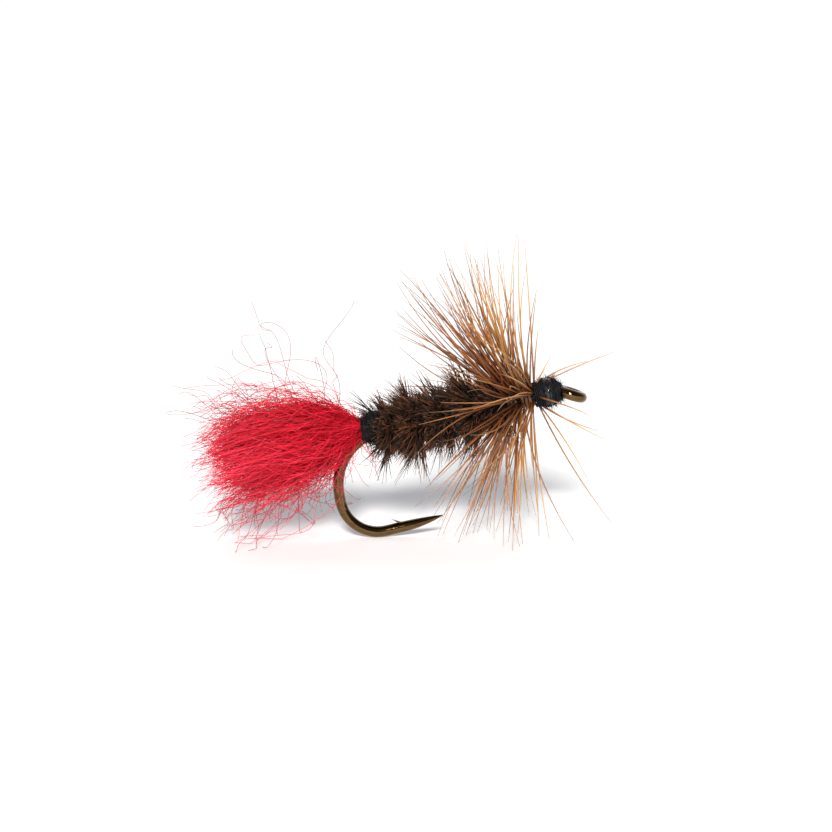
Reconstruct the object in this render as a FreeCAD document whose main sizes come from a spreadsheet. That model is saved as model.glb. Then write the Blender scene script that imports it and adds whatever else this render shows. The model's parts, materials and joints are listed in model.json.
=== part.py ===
"""A red-tailed dry fly on a down-eyed hook, as a tier would build it: wire, thread, wool, herl and hackle.

Every piece is modelled in the shank's own frame, in millimetres: the shank's axis is X, with the start of
the bend at X = 0 and the eye towards +X, and the point hangs below the shank at -Z. stand_the_fly() then
pitches the whole fly nose up, so that it stands on the bottom of its bend and on the tips of its lower
hackle, with the floor at Z = 0 and the origin under the middle of its bounding box.
"""

import FreeCAD, Part
import math
import os
import Sketcher
from FreeCAD import Placement, Rotation, Vector

SIZES = (
    # hook
    ("wire", 0.62, "wire diameter"),
    ("shank_len", 10.0, "straight shank, from the bend to the turn before the eye"),
    ("bend_upper", 3.1, "radius of the upper part of the bend"),
    ("bend_straight", 0.4, "straight run between the two radii"),
    ("bend_lower", 2.15, "radius of the lower part of the bend"),
    ("spear_len", 3.3, "bottom of the bend to the point"),
    ("taper_len", 2.3, "ground length of the point"),
    ("point_rise", 0.13, "how far the point is ground off centre, upwards"),
    ("tip_radius", 0.02, "radius left at the very point"),
    ("hook_barb_len", 0.6, "barb, from its root back to its tip"),
    ("hook_barb_lift", 0.28, "barb tip over the wire"),
    ("hook_barb_width", 0.2, "barb across the wire"),
    ("eye_turn", 30, "degrees that the eye is turned down"),
    ("eye_bore", 0.36, "radius of the smoothed bore"),
    ("eye_smoothing", 0.03, "depth smoothed off the inside of the ring"),
    ("eye_ring_angle", 332, "degrees of ring before its end meets the shank"),
    ("neck_bend", 0.6, "radius that turns the eye down"),
    ("stance_pitch", 12, "degrees nose up, as the fly stands"),
    # thread
    ("fit_gap", 0.02, "clearance between one wound layer and the next"),
    ("thread", 0.1, "thread diameter"),
    ("thread_space", 0.012, "space between one turn of thread and the next"),
    ("base_wall", 0.08, "thread base over the bare wire"),
    # tail
    ("tie_turns", 7, "turns that bind the tail"),
    ("tie_front", -0.1, "front of the turns that bind the tail"),
    ("yarn_bound", 0.3, "radius of the yarn where it is bound"),
    ("root_len", 0.8, "bare root of the tail behind its binding"),
    ("root_flare", 0.5, "radius at the end of that root"),
    ("hinge_gap", 0.2, "slack on each side of a place where wool flexes"),
    ("butt_wall", 0.34, "wool bound along the shank under the body"),
    ("butt_short", 0.58, "from that wool's end to the thread that ties off the herl"),
    ("lock_len", 7.9, "length of each free lock of wool"),
    ("lock_root", 0.13, "lock radius at its root"),
    ("lock_belly", 0.48, "lock radius at its fullest"),
    ("lock_end", 0.26, "lock radius at its cut end"),
    ("lock_ring", 0.4, "radius of the ring of lock roots"),
    ("lock_count", 8, "locks round the middle one"),
    ("fan_pitch", 24, "degrees that the top and bottom locks spread"),
    ("fan_yaw", 18, "degrees that the side locks spread"),
    # body
    ("herl_start", 0.5, "first herl's first turn"),
    ("herl_pitch", 1.2, "advance of one herl in one turn"),
    ("quill_width", 0.28, "herl quill along the shank"),
    ("quill_depth", 0.18, "herl quill through its thickness"),
    ("flue_len", 1.0, "dense flue that stands out from the quill"),
    ("flue_root", 0.2, "flue thickness at the quill"),
    ("flue_tip", 0.08, "flue thickness at its outside"),
    ("flue_lean", 0.35, "how far the flue leans back at its outside"),
    ("tie_off_turns", 3, "thread turns that tie the herl off"),
    ("tie_off_gap", 0.06, "from those turns to the hackle"),
    # hackle
    ("stem", 0.18, "hackle stem diameter"),
    ("stem_space", 0.03, "space between one turn of the stem and the next"),
    ("stem_turns", 3, "turns of each hackle"),
    ("brown_root", 0.71, "from the brown stem's first turn to where its bunches leave the shank"),
    ("ginger_root", 0.28, "the same for the ginger stem"),
    ("collar_gap", 0.03, "from the hackle to the thread in front of it"),
    ("hackle_root", 0.88, "distance of the bunches' roots from the shank's axis"),
    ("hackle_len", 8.0, "barb length"),
    ("brown_sweep", 28, "degrees that the brown hackle leans back"),
    ("ginger_sweep", 5, "degrees that the ginger hackle leans back"),
    ("bunch_spread", 22, "degrees between bunches of one side"),
    ("bunch_width", 0.8, "widest part of a bunch, round the shank"),
    ("bunch_depth", 0.34, "thickest part of a bunch, along the shank"),
    ("bunch_tip", 0.1, "width left at a bunch's tips"),
    ("stem_butt_len", 0.4, "trimmed stems under the thread in front of the hackle"),
    ("stem_butt_angle", 28, "degrees of each trimmed stem from the top"),
    # head
    ("collar_turns", 3, "thread turns in front of the hackle"),
    ("head_clear", 0.16, "shank left in front of the head for the knot"),
    ("head_turns", 5, "turns in the head's outer layer"),
    ("head_radius", 0.86, "radius at the back of the head"),
    ("under_wall", 0.05, "thickness of the thread under that layer, at its front"),
    ("cement_wall", 0.04, "varnish thickness"),
    ("whip_turns", 1, "turns of the finishing knot"),
)
HERLS = 3  # herls wound side by side
COLOURS = ("brown", "ginger")  # the two hackle feathers, rear and front
FACINGS = {"top": 0, "right": 90, "bottom": 180, "left": 270}  # degrees round +X, from the top

doc = FreeCAD.newDocument("dry_fly")
sheet = doc.addObject("Spreadsheet::Sheet", "Sizes")
for row, (alias, number, meaning) in enumerate(SIZES, start=1):
    sheet.set(f"A{row}", str(number))
    sheet.set(f"B{row}", meaning)
    sheet.setAlias(f"A{row}", alias)
doc.recompute()
size = {alias: float(sheet.get(alias)) for alias, _, _ in SIZES}

# The advance of one close turn, and radii that several pieces share, as expressions on the sheet.
THREAD_PITCH = "(Sizes.thread + Sizes.thread_space)"
STEM_PITCH = "(Sizes.stem + Sizes.stem_space)"
WIRE_R = "Sizes.wire / 2"
BASE_IN = f"({WIRE_R} + Sizes.fit_gap / 2)"
BASE_OUT = f"({BASE_IN} + Sizes.base_wall)"
BUTT_IN = f"({BASE_OUT} + Sizes.fit_gap)"
BUTT_OUT = f"({BUTT_IN} + Sizes.butt_wall)"
QUILL_IN = f"({BUTT_OUT} + Sizes.fit_gap)"
QUILL_OUT = f"({QUILL_IN} + Sizes.quill_depth)"
STEM_COIL = f"({BASE_OUT} + Sizes.fit_gap + Sizes.stem / 2)"
STEM_OUT = f"({BASE_OUT} + Sizes.fit_gap + Sizes.stem)"
YARN_RISE = f"({BASE_OUT} + Sizes.fit_gap + Sizes.yarn_bound)"
TIE_BACK = f"(Sizes.tie_front - Sizes.thread - {THREAD_PITCH} * Sizes.tie_turns)"
BEND_DROP = f"(Sizes.bend_upper - sqrt(Sizes.bend_upper ^ 2 - {TIE_BACK} ^ 2))"
TIE_TOP = f"({YARN_RISE} + Sizes.yarn_bound + Sizes.fit_gap)"
TIE_LOW = f"(-{WIRE_R} - {BEND_DROP} - Sizes.fit_gap)"
FRONT_BORE = f"({BASE_OUT} + Sizes.fit_gap)"
# Places along the shank, worked out from the eye backwards.
HEAD_LEN = f"({THREAD_PITCH} * Sizes.head_turns + Sizes.thread)"
HEAD_START = f"(Sizes.shank_len - Sizes.head_clear - {HEAD_LEN})"
COLLAR_START = f"({HEAD_START} - {THREAD_PITCH} * Sizes.collar_turns - Sizes.thread - Sizes.fit_gap)"
STEM_RUN = f"({STEM_PITCH} * Sizes.stem_turns)"
GINGER_START = f"({COLLAR_START} - Sizes.collar_gap - Sizes.stem / 2 - {STEM_RUN})"
BROWN_START = f"({GINGER_START} - {STEM_RUN} - Sizes.stem - Sizes.fit_gap)"
HACKLE_START = {"brown": BROWN_START, "ginger": GINGER_START}
TIE_OFF_RUN = f"({THREAD_PITCH} * Sizes.tie_off_turns)"
TIE_OFF_START = f"({BROWN_START} - Sizes.stem / 2 - Sizes.tie_off_gap - Sizes.thread / 2 - {TIE_OFF_RUN})"
UNDER_BACK = "(Sizes.head_radius - Sizes.thread - Sizes.fit_gap)"
UNDER_FRONT = f"({FRONT_BORE} + Sizes.under_wall)"
HEAD_SLOPE = f"(({UNDER_BACK} - {UNDER_FRONT}) / {HEAD_LEN})"
HEAD_CONE = f"atan({HEAD_SLOPE})"
GAPE_Z = "(-Sizes.bend_upper - Sizes.bend_straight - Sizes.bend_lower)"
BEND_BOTTOM_X = "(Sizes.bend_lower - Sizes.bend_upper)"
TAPER_X = f"({BEND_BOTTOM_X} + Sizes.spear_len - Sizes.taper_len)"
NECK_END_X = "(Sizes.shank_len + Sizes.neck_bend * sin(Sizes.eye_turn))"
NECK_END_Z = "(-Sizes.neck_bend * (1 - cos(Sizes.eye_turn)))"
RING_R = f"(Sizes.eye_bore - Sizes.eye_smoothing + {WIRE_R})"
EYE_X = f"({NECK_END_X} + {RING_R} * cos(Sizes.eye_turn))"
EYE_Z = f"({NECK_END_Z} - {RING_R} * sin(Sizes.eye_turn))"


def value(rule):
    """The number that an expression on the sheet gives."""
    return float(sheet.evalExpression(rule))


# ---- sketches ----------------------------------------------------------------------------------------------


def new_body(label):
    body = doc.addObject("PartDesign::Body", label)
    body.Label = label
    return body


def sketch_on(body, role, name, offset=None):
    """A sketch on one of the body's own origin planes, moved along its normal by the rule offset."""
    sketch = body.newObject("Sketcher::SketchObject", name)
    plane = next(f for f in body.Origin.OriginFeatures if f.Role == role)
    sketch.AttachmentSupport = [(plane, "")]
    sketch.MapMode = "FlatFace"
    if offset:
        sketch.setExpression("AttachmentOffset.Base.z", offset)
    return sketch


def drive(sketch, kind, *where, rule):
    """A dimension whose value is the rule."""
    index = sketch.addConstraint(Sketcher.Constraint(kind, *where, value(rule)))
    sketch.setExpression(f"Constraints[{index}]", rule)


def place(sketch, geometry, point, x_rule, y_rule):
    """Holds one point of the sketch at a place given by two rules."""
    drive(sketch, "DistanceX", -1, 1, geometry, point, rule=x_rule)
    drive(sketch, "DistanceY", -1, 1, geometry, point, rule=y_rule)


def add_circle(sketch, x_rule, y_rule, radius_rule):
    centre = Vector(value(x_rule), value(y_rule), 0)
    index = sketch.addGeometry(Part.Circle(centre, Vector(0, 0, 1), value(radius_rule)), False)
    place(sketch, index, 3, x_rule, y_rule)
    drive(sketch, "Radius", index, rule=radius_rule)
    return index


def add_line(sketch, start, end, construction=False):
    ends = [Vector(value(x), value(y), 0) for x, y in (start, end)]
    return sketch.addGeometry(Part.LineSegment(*ends), construction)


def add_polygon(sketch, corners):
    """A closed outline; each corner is a pair of rules."""
    lines = [add_line(sketch, a, b) for a, b in zip(corners, corners[1:] + corners[:1])]
    for line, after, (x_rule, y_rule) in zip(lines, lines[1:] + lines[:1], corners):
        sketch.addConstraint(Sketcher.Constraint("Coincident", line, 2, after, 1))
        place(sketch, line, 1, x_rule, y_rule)


# ---- features ----------------------------------------------------------------------------------------------


def feature(body, kind, name, profile, **rules):
    made = body.newObject(f"PartDesign::{kind}", name)
    made.Profile = profile
    for prop, rule in rules.items():
        made.setExpression(prop, rule)
    return made


def pad(body, name, profile, length, midplane=False):
    made = feature(body, "Pad", name, profile, Length=length)
    made.Midplane = midplane
    return made


def revolve(body, kind, name, profile, axis, angle="360"):
    made = feature(body, kind, name, profile, Angle=angle)
    made.ReferenceAxis = (profile, [axis])
    return made


def loft(body, name, profile, sections):
    made = feature(body, "AdditiveLoft", name, profile)
    made.Sections = sections
    return made


def wind(body, name, profile, pitch, turns):
    """Sweeps the profile round the shank's axis as it advances along it."""
    made = body.newObject("PartDesign::AdditiveHelix", name)
    made.Profile = profile
    made.ReferenceAxis = (profile, ["H_Axis"])
    made.Mode = "pitch-turns-angle"
    made.setExpression("Pitch", pitch)
    made.setExpression("Turns", turns)
    return made


def coil(label, start, coil_radius, turns, strand="Sizes.thread", pitch=THREAD_PITCH):
    """One strand wound round the shank; start is where its first turn's centre begins."""
    body = new_body(label)
    section = sketch_on(body, "XZ_Plane", label + "_section")
    add_circle(section, start, coil_radius, f"{strand} / 2")
    wind(body, label + "_turns", section, pitch, turns)
    return body


def sleeve(label, start, length, inside, outside):
    """A tube round the shank."""
    body = new_body(label)
    section = sketch_on(body, "YZ_Plane", label + "_section", offset=start)
    add_circle(section, "0", "0", outside)
    add_circle(section, "0", "0", inside)
    pad(body, label + "_tube", section, length)
    return body


# ---- hook --------------------------------------------------------------------------------------------------


def make_hook():
    """One wire: the eye, the turn below it, the shank, the bend, and the ground point with its barb."""
    body = new_body("hook")
    wire = sketch_on(body, "YZ_Plane", "wire_section")
    add_circle(wire, "0", "0", WIRE_R)
    pad(body, "shank", wire, "Sizes.shank_len")
    add_bend(body)
    add_point(body)
    add_hook_barb(body)
    add_eye(body)
    return body


def add_bend(body):
    upper, lower = value("Sizes.bend_upper"), value("Sizes.bend_lower")
    back, knee, bottom = -upper, -upper - value("Sizes.bend_straight"), value(GAPE_Z)
    normal = Vector(0, 0, 1)
    spine = sketch_on(body, "XZ_Plane", "bend_line")
    upper_circle = Part.Circle(Vector(0, -upper, 0), normal, upper)
    lower_circle = Part.Circle(Vector(back + lower, knee, 0), normal, lower)
    spine.addGeometry(Part.ArcOfCircle(upper_circle, math.pi / 2, math.pi), False)
    spine.addGeometry(Part.LineSegment(Vector(back, -upper, 0), Vector(back, knee, 0)), False)
    spine.addGeometry(Part.ArcOfCircle(lower_circle, math.pi, 1.5 * math.pi), False)
    straight = Part.LineSegment(Vector(back + lower, bottom, 0), Vector(value(TAPER_X), bottom, 0))
    spine.addGeometry(straight, False)
    spine.addConstraint(Sketcher.Constraint("Coincident", 0, 1, -1, 1))
    spine.addConstraint(Sketcher.Constraint("PointOnObject", 0, 3, -2))
    for first in range(3):
        spine.addConstraint(Sketcher.Constraint("Tangent", first, 2, first + 1, 1))
    spine.addConstraint(Sketcher.Constraint("Vertical", 1))
    spine.addConstraint(Sketcher.Constraint("Horizontal", 3))
    drive(spine, "Radius", 0, rule="Sizes.bend_upper")
    drive(spine, "Distance", 1, rule="Sizes.bend_straight")
    drive(spine, "Radius", 2, rule="Sizes.bend_lower")
    drive(spine, "Distance", 3, rule="Sizes.spear_len - Sizes.taper_len")
    section = sketch_on(body, "YZ_Plane", "bend_section")
    add_circle(section, "0", "0", WIRE_R)
    bend = feature(body, "AdditivePipe", "bend", section)
    bend.Spine = (spine, [""])


def add_point(body):
    """The ground taper, an ogive: each section is a share of the way along and of the wire's radius."""
    ogive = ((0.0, 1.0), (0.28, 0.9), (0.58, 0.65), (0.82, 0.34), (1.0, 0.0))
    sections = []
    for number, (along, share) in enumerate(ogive):
        at = f"{TAPER_X} + Sizes.taper_len * {along}"
        section = sketch_on(body, "YZ_Plane", f"point_section_{number}", offset=at)
        radius = f"{WIRE_R} * {share} + Sizes.tip_radius * (1 - {share})"
        add_circle(section, "0", f"{GAPE_Z} + Sizes.point_rise * (1 - {share})", radius)
        sections.append(section)
    loft(body, "point", sections[0], sections[1:])


def add_hook_barb(body):
    """A sliver cut up from the top of the wire where the taper begins, leaning back towards the bend."""
    outline = sketch_on(body, "XZ_Plane", "hook_barb_outline")
    top = f"({GAPE_Z} + {WIRE_R})"
    buried = f"{top} - Sizes.wire * 0.3"
    tip = (f"{TAPER_X} - Sizes.hook_barb_len", f"{top} + Sizes.hook_barb_lift")
    front = (f"{TAPER_X} + Sizes.hook_barb_len * 0.45", buried)
    back = (f"{TAPER_X} - Sizes.hook_barb_len * 0.1", buried)
    add_polygon(outline, [back, front, tip])
    pad(body, "hook_barb", outline, "Sizes.hook_barb_width", midplane=True)


def add_eye(body):
    """The wire turns down, and its end is bent round into a ring whose inside is smoothed to a true bore."""
    neck = sketch_on(body, "YZ_Plane", "neck_section", offset="Sizes.shank_len")
    add_circle(neck, "0", "0", WIRE_R)
    axis = add_line(neck, ("-1", "-Sizes.neck_bend"), ("1", "-Sizes.neck_bend"), construction=True)
    place(neck, axis, 1, "-1", "-Sizes.neck_bend")
    place(neck, axis, 2, "1", "-Sizes.neck_bend")
    turned = revolve(body, "Revolution", "neck", neck, "Axis0", "Sizes.eye_turn")
    doc.recompute()
    if body.Shape.BoundBox.XMax < value("Sizes.shank_len") + value(WIRE_R) / 2:
        turned.Reversed = True

    along_x, along_z = "sin(Sizes.eye_turn)", "cos(Sizes.eye_turn)"
    ring = sketch_on(body, "XZ_Plane", "ring_section")
    add_circle(ring, NECK_END_X, NECK_END_Z, WIRE_R)
    above = (f"{EYE_X} + {along_x}", f"{EYE_Z} + {along_z}")
    axis = add_line(ring, (EYE_X, EYE_Z), above, construction=True)
    place(ring, axis, 1, EYE_X, EYE_Z)
    place(ring, axis, 2, *above)
    revolve(body, "Revolution", "ring", ring, "Axis0", "Sizes.eye_ring_angle")
    doc.recompute()

    before = body.Shape.Volume
    bore = sketch_on(body, "XZ_Plane", "bore_section")
    out_x, out_z = "Sizes.eye_bore * cos(Sizes.eye_turn)", "Sizes.eye_bore * sin(Sizes.eye_turn)"
    low = (f"{EYE_X} - Sizes.wire * {along_x}", f"{EYE_Z} - Sizes.wire * {along_z}")
    high = (f"{EYE_X} + Sizes.wire * {along_x}", f"{EYE_Z} + Sizes.wire * {along_z}")
    far_high = (f"{high[0]} + {out_x}", f"{high[1]} - {out_z}")
    far_low = (f"{low[0]} + {out_x}", f"{low[1]} - {out_z}")
    add_polygon(bore, [low, high, far_high, far_low])
    axis = add_line(bore, low, high, construction=True)
    place(bore, axis, 1, *low)
    place(bore, axis, 2, *high)
    revolve(body, "Groove", "bore", bore, "Axis0")
    doc.recompute()
    if not body.Shape.Volume < before:
        raise RuntimeError("the eye's bore removed nothing")


# ---- tail --------------------------------------------------------------------------------------------------


def make_tail_binding():
    """Thread turns that hold the yarn on top of the wire, where the bend begins, centred on the pair."""
    return coil(
        "tail_tie_wraps",
        f"{TIE_BACK} + Sizes.thread / 2",
        f"({TIE_TOP} - {TIE_LOW}) / 2 + Sizes.thread / 2",
        "Sizes.tie_turns",
    )


def make_tail_butt():
    """The bound end of the yarn: a strand through the binding, then spread evenly round the shank."""
    body = new_body("tail_wool_butt")
    spread = sketch_on(body, "YZ_Plane", "spread_wool", offset="Sizes.fit_gap")
    add_circle(spread, "0", "0", BUTT_OUT)
    add_circle(spread, "0", "0", BUTT_IN)
    pad(body, "under_body", spread, f"{TIE_OFF_START} - Sizes.butt_short - Sizes.fit_gap")
    strand = sketch_on(body, "YZ_Plane", "bound_strand", offset="Sizes.fit_gap + Sizes.yarn_bound")
    add_circle(strand, "0", YARN_RISE, "Sizes.yarn_bound")
    through = pad(body, "through_binding", strand, f"Sizes.fit_gap + Sizes.yarn_bound - {TIE_BACK}")
    through.Reversed = True
    return body


def spindle(length, stations):
    """A tapered solid along +Z; each station is a share of the length and two radii, across and deep."""
    rings = []
    for along, across, deep in stations:
        ring = Part.Wire(Part.makeCircle(1.0, Vector(0, 0, 0), Vector(0, 0, 1)))
        oval = FreeCAD.Matrix()
        oval.scale(deep, across, 1)
        ring = ring.transformGeometry(oval)
        ring.translate(Vector(0, 0, along * length))
        rings.append(ring)
    return Part.makeLoft(rings, True, False)


def make_tail_root():
    """The neck of the tail, where the yarn leaves its binding and starts to flare."""
    root = doc.addObject("Part::Cone", "tail_wool_root")
    root.Label = "tail_wool_root"
    root.setExpression("Radius1", "Sizes.yarn_bound")
    root.setExpression("Radius2", "Sizes.root_flare")
    root.setExpression("Height", "Sizes.root_len")
    return root


def make_tail_brush(start):
    """The free wool: one lock straight back from start, and a ring of locks that fan out round it."""
    root, belly, end = size["lock_root"], size["lock_belly"], size["lock_end"]
    stations = [(0, root, root), (0.35, belly * 0.82, belly * 0.82), (0.65, belly, belly), (1, end, end)]
    locks = []
    count = int(size["lock_count"])
    for number in range(count + 1):
        around = math.radians(360 * number / count)
        ring = 0 if number == count else size["lock_ring"]
        fan = 0 if number == count else 1
        lock = spindle(size["lock_len"], stations)
        lock.rotate(Vector(0, 0, 0), Vector(0, 1, 0), -90)
        lift = fan * size["fan_pitch"] * math.sin(around)
        yaw = fan * size["fan_yaw"] * math.cos(around)
        lock.rotate(Vector(0, 0, 0), Vector(0, 1, 0), lift)
        lock.rotate(Vector(0, 0, 0), Vector(0, 0, 1), -yaw)
        offset = Vector(0, math.cos(around), math.sin(around)) * ring
        lock.translate(start + offset)
        locks.append(lock)
    return Part.makeCompound(locks)


# ---- body --------------------------------------------------------------------------------------------------


def make_herl(number):
    """One herl: its flat quill, wound beside the others, and the dense flue that stands on it."""
    label = f"herl_strand_{number + 1}"
    body = new_body(label)
    section = sketch_on(body, "XZ_Plane", label + "_section")
    back = f"(Sizes.herl_start + Sizes.herl_pitch * {number} / {HERLS})"
    front = f"({back} + Sizes.quill_width)"
    middle = f"({back} + Sizes.quill_width / 2)"
    tip = f"({QUILL_OUT} + Sizes.flue_len)"
    outline = [
        (back, QUILL_IN),
        (front, QUILL_IN),
        (front, QUILL_OUT),
        (f"{middle} + Sizes.flue_root / 2", QUILL_OUT),
        (f"{middle} + Sizes.flue_tip / 2 - Sizes.flue_lean", tip),
        (f"{middle} - Sizes.flue_tip / 2 - Sizes.flue_lean", tip),
        (f"{middle} - Sizes.flue_root / 2", QUILL_OUT),
        (back, QUILL_OUT),
    ]
    add_polygon(section, outline)
    run = f"({TIE_OFF_START} - Sizes.thread - Sizes.quill_width - Sizes.herl_start)"
    turns = f"{run} / Sizes.herl_pitch - {HERLS - 1} / {HERLS}"
    wind(body, label + "_turns", section, "Sizes.herl_pitch", turns)
    return body


# ---- hackle ------------------------------------------------------------------------------------------------


def make_stem(colour):
    """A hackle feather's bare stem, wound on the thread base."""
    return coil(
        f"{colour}_hackle_stem",
        HACKLE_START[colour],
        STEM_COIL,
        "Sizes.stem_turns",
        strand="Sizes.stem",
        pitch=STEM_PITCH,
    )


def make_stem_butts():
    """The trimmed ends of the two stems, laid forwards along the shank and buried by the head."""
    body = new_body("hackle_stem_butts")
    ends = sketch_on(body, "YZ_Plane", "stem_ends", offset=COLLAR_START)
    for side in ("-", ""):
        across = f"{side}{STEM_COIL} * sin(Sizes.stem_butt_angle)"
        add_circle(ends, across, f"{STEM_COIL} * cos(Sizes.stem_butt_angle)", "Sizes.stem / 2")
    pad(body, "stem_lengths", ends, "Sizes.stem_butt_len")
    return body


def make_bunches(colour, facing):
    """Three bunches of one hackle's barbs, on one side of the shank, cut short where they meet the floor."""
    across, deep, tip = size["bunch_width"] / 2, size["bunch_depth"] / 2, size["bunch_tip"] / 2
    stations = [
        (0, across * 0.38, deep * 0.7),
        (0.35, across, deep),
        (0.75, across * 0.7, deep * 0.8),
        (1, tip, tip),
    ]
    root_x = value(f"{HACKLE_START[colour]} + Sizes.{colour}_root")
    lean = Rotation(Vector(0, 1, 0), -size[f"{colour}_sweep"])
    stance = stance_at(0)
    bunches = []
    for step in (-1, 0, 1):
        turn = Rotation(Vector(1, 0, 0), facing + step * size["bunch_spread"])
        root = turn.multVec(Vector(root_x, 0, size["hackle_root"]))
        along = turn.multVec(lean.multVec(Vector(0, 0, 1)))
        height = stance.multVec(root).z - tip
        fall = -stance.Rotation.multVec(along).z
        length = min(size["hackle_len"], height / fall) if fall > 0 else size["hackle_len"]
        bunch = spindle(length, stations)
        bunch.Placement = Placement(root, turn.multiply(lean)).multiply(bunch.Placement)
        bunches.append(bunch)
    return Part.makeCompound(bunches)


# ---- head --------------------------------------------------------------------------------------------------


def make_underwraps():
    """The thread under the head's outer layer, tapered towards the eye."""
    body = new_body("head_underwraps")
    outline = sketch_on(body, "XZ_Plane", "underwraps_outline")
    end = f"{HEAD_START} + {HEAD_LEN}"
    corners = [(HEAD_START, FRONT_BORE), (end, FRONT_BORE), (end, UNDER_FRONT), (HEAD_START, UNDER_BACK)]
    add_polygon(outline, corners)
    revolve(body, "Revolution", "underwraps", outline, "H_Axis")
    return body


def make_head_wraps():
    """The head's outer layer of close turns, one thread thick, down the taper."""
    body = new_body("head_wraps")
    outline = sketch_on(body, "XZ_Plane", "head_wraps_outline")
    end = f"{HEAD_START} + {HEAD_LEN}"
    inside = f"Sizes.fit_gap / cos({HEAD_CONE})"
    outside = f"(Sizes.fit_gap + Sizes.thread) / cos({HEAD_CONE})"
    corners = [
        (HEAD_START, f"{UNDER_BACK} + {inside}"),
        (end, f"{UNDER_FRONT} + {inside}"),
        (end, f"{UNDER_FRONT} + {outside}"),
        (HEAD_START, f"{UNDER_BACK} + {outside}"),
    ]
    add_polygon(outline, corners)
    revolve(body, "Revolution", "head_wraps_layer", outline, "H_Axis")
    return body


def make_cement():
    """A thin coat of varnish over the outer layer of turns."""
    body = new_body("head_cement")
    outline = sketch_on(body, "XZ_Plane", "cement_outline")
    over = f"({UNDER_BACK} + (Sizes.fit_gap * 2 + Sizes.thread) / cos({HEAD_CONE}))"
    start, end = f"({HEAD_START} + Sizes.thread)", f"({HEAD_START} + {HEAD_LEN} - Sizes.thread)"
    back = f"({over} - {HEAD_SLOPE} * Sizes.thread)"
    front = f"({over} - {HEAD_SLOPE} * ({HEAD_LEN} - Sizes.thread))"
    wall = "Sizes.cement_wall"
    corners = [(start, back), (end, front), (end, f"{front} + {wall}"), (start, f"{back} + {wall}")]
    add_polygon(outline, corners)
    revolve(body, "Revolution", "cement", outline, "H_Axis")
    return body


# ---- assembly ----------------------------------------------------------------------------------------------


def stance_at(x):
    """Pitches the fly nose up and lifts it until the bottom of its bend is on the floor."""
    turn = Rotation(Vector(0, 1, 0), -size["stance_pitch"])
    lower_centre = Vector(value(BEND_BOTTOM_X), 0, value(GAPE_Z) + size["bend_lower"])
    height = size["bend_lower"] + size["wire"] / 2 - turn.multVec(lower_centre).z
    return Placement(Vector(x, 0, height), turn)


def add_shape(label, shape):
    """A piece whose shape is worked out here from the sheet."""
    piece = doc.addObject("Part::Feature", label)
    piece.Label = label
    piece.Shape = shape
    return piece


def make_wound_pieces():
    """The pieces that are wound or laid on the shank, from the bend to the eye."""
    made = [make_hook(), sleeve("thread_base", "0", "Sizes.shank_len - Sizes.fit_gap", BASE_IN, BASE_OUT)]
    made += [make_tail_binding(), make_tail_butt()]
    made += [make_herl(number) for number in range(HERLS)]
    on_base = f"{FRONT_BORE} + Sizes.thread / 2"
    made.append(coil("herl_tie_off_wraps", TIE_OFF_START, on_base, "Sizes.tie_off_turns"))
    made += [make_stem(colour) for colour in COLOURS]
    made.append(make_stem_butts())
    over_butts = f"{STEM_OUT} + Sizes.fit_gap + Sizes.thread / 2"
    collar = f"{COLLAR_START} + Sizes.thread / 2"
    made.append(coil("hackle_tie_wraps", collar, over_butts, "Sizes.collar_turns"))
    made += [make_underwraps(), make_head_wraps(), make_cement()]
    knot = f"{HEAD_START} + {HEAD_LEN} + Sizes.fit_gap + Sizes.thread / 2"
    made.append(coil("whip_finish", knot, on_base, "Sizes.whip_turns"))
    return made


def make_flexing_pieces():
    """The tail and the hackle, which bend where they leave the thread, and the hinges that stand for that."""
    rise, gap = value(YARN_RISE), size["hinge_gap"]
    lift_at = Vector(value(TIE_BACK) - gap / 2, 0, rise)
    sway_at = lift_at - Vector(gap + size["root_len"], 0, 0)
    hinges = {"tail_lift": (lift_at, Vector(0, 1, 0)), "tail_sway": (sway_at, Vector(0, 0, 1))}
    root = make_tail_root()
    own_places = {root.Label: Placement(lift_at - Vector(gap / 2, 0, 0), Rotation(Vector(0, 1, 0), -90))}
    made = [root, add_shape("tail_wool_brush", make_tail_brush(sway_at - Vector(gap / 2, 0, 0)))]
    hinge_x = value(f"{BROWN_START} + Sizes.brown_root")
    for side, facing in FACINGS.items():
        turn = Rotation(Vector(1, 0, 0), facing)
        at = turn.multVec(Vector(hinge_x, 0, value(STEM_COIL)))
        hinges[f"hackle_{side}"] = (at, turn.multVec(Vector(0, -1, 0)))
        made += [add_shape(f"{colour}_barbs_{side}", make_bunches(colour, facing)) for colour in COLOURS]
    return made, own_places, hinges


def stand_the_fly(pieces, own_places):
    """Gives each piece its Placement: the stance, moved so that the origin is under the middle of the fly."""

    def put(stance):
        for piece in pieces:
            piece.Placement = stance.multiply(own_places.get(piece.Label, Placement()))
        doc.recompute()

    put(stance_at(0))
    low = min(piece.Shape.BoundBox.XMin for piece in pieces)
    high = max(piece.Shape.BoundBox.XMax for piece in pieces)
    stance = stance_at(-(low + high) / 2)
    put(stance)
    return stance


def check(pieces):
    for found in doc.Objects:
        if "Invalid" in found.State or "Error" in found.State:
            raise RuntimeError(f"{found.Label} failed: {found.State}")
    for piece in pieces:
        if piece.Shape.isNull() or not piece.Shape.isValid() or not piece.Shape.Solids:
            raise RuntimeError(f"{piece.Label} has no valid solid")


def export(pieces):
    os.makedirs("parts", exist_ok=True)
    for piece in pieces:
        piece.Shape.exportStep(f"parts/{piece.Label}.step")


flexing, own_places, hinges = make_flexing_pieces()
pieces = make_wound_pieces() + flexing
own_places["tail_tie_wraps"] = Placement(Vector(0, 0, value(f"({TIE_TOP} + {TIE_LOW}) / 2")), Rotation())
stance = stand_the_fly(pieces, own_places)
check(pieces)
export(pieces)

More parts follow.
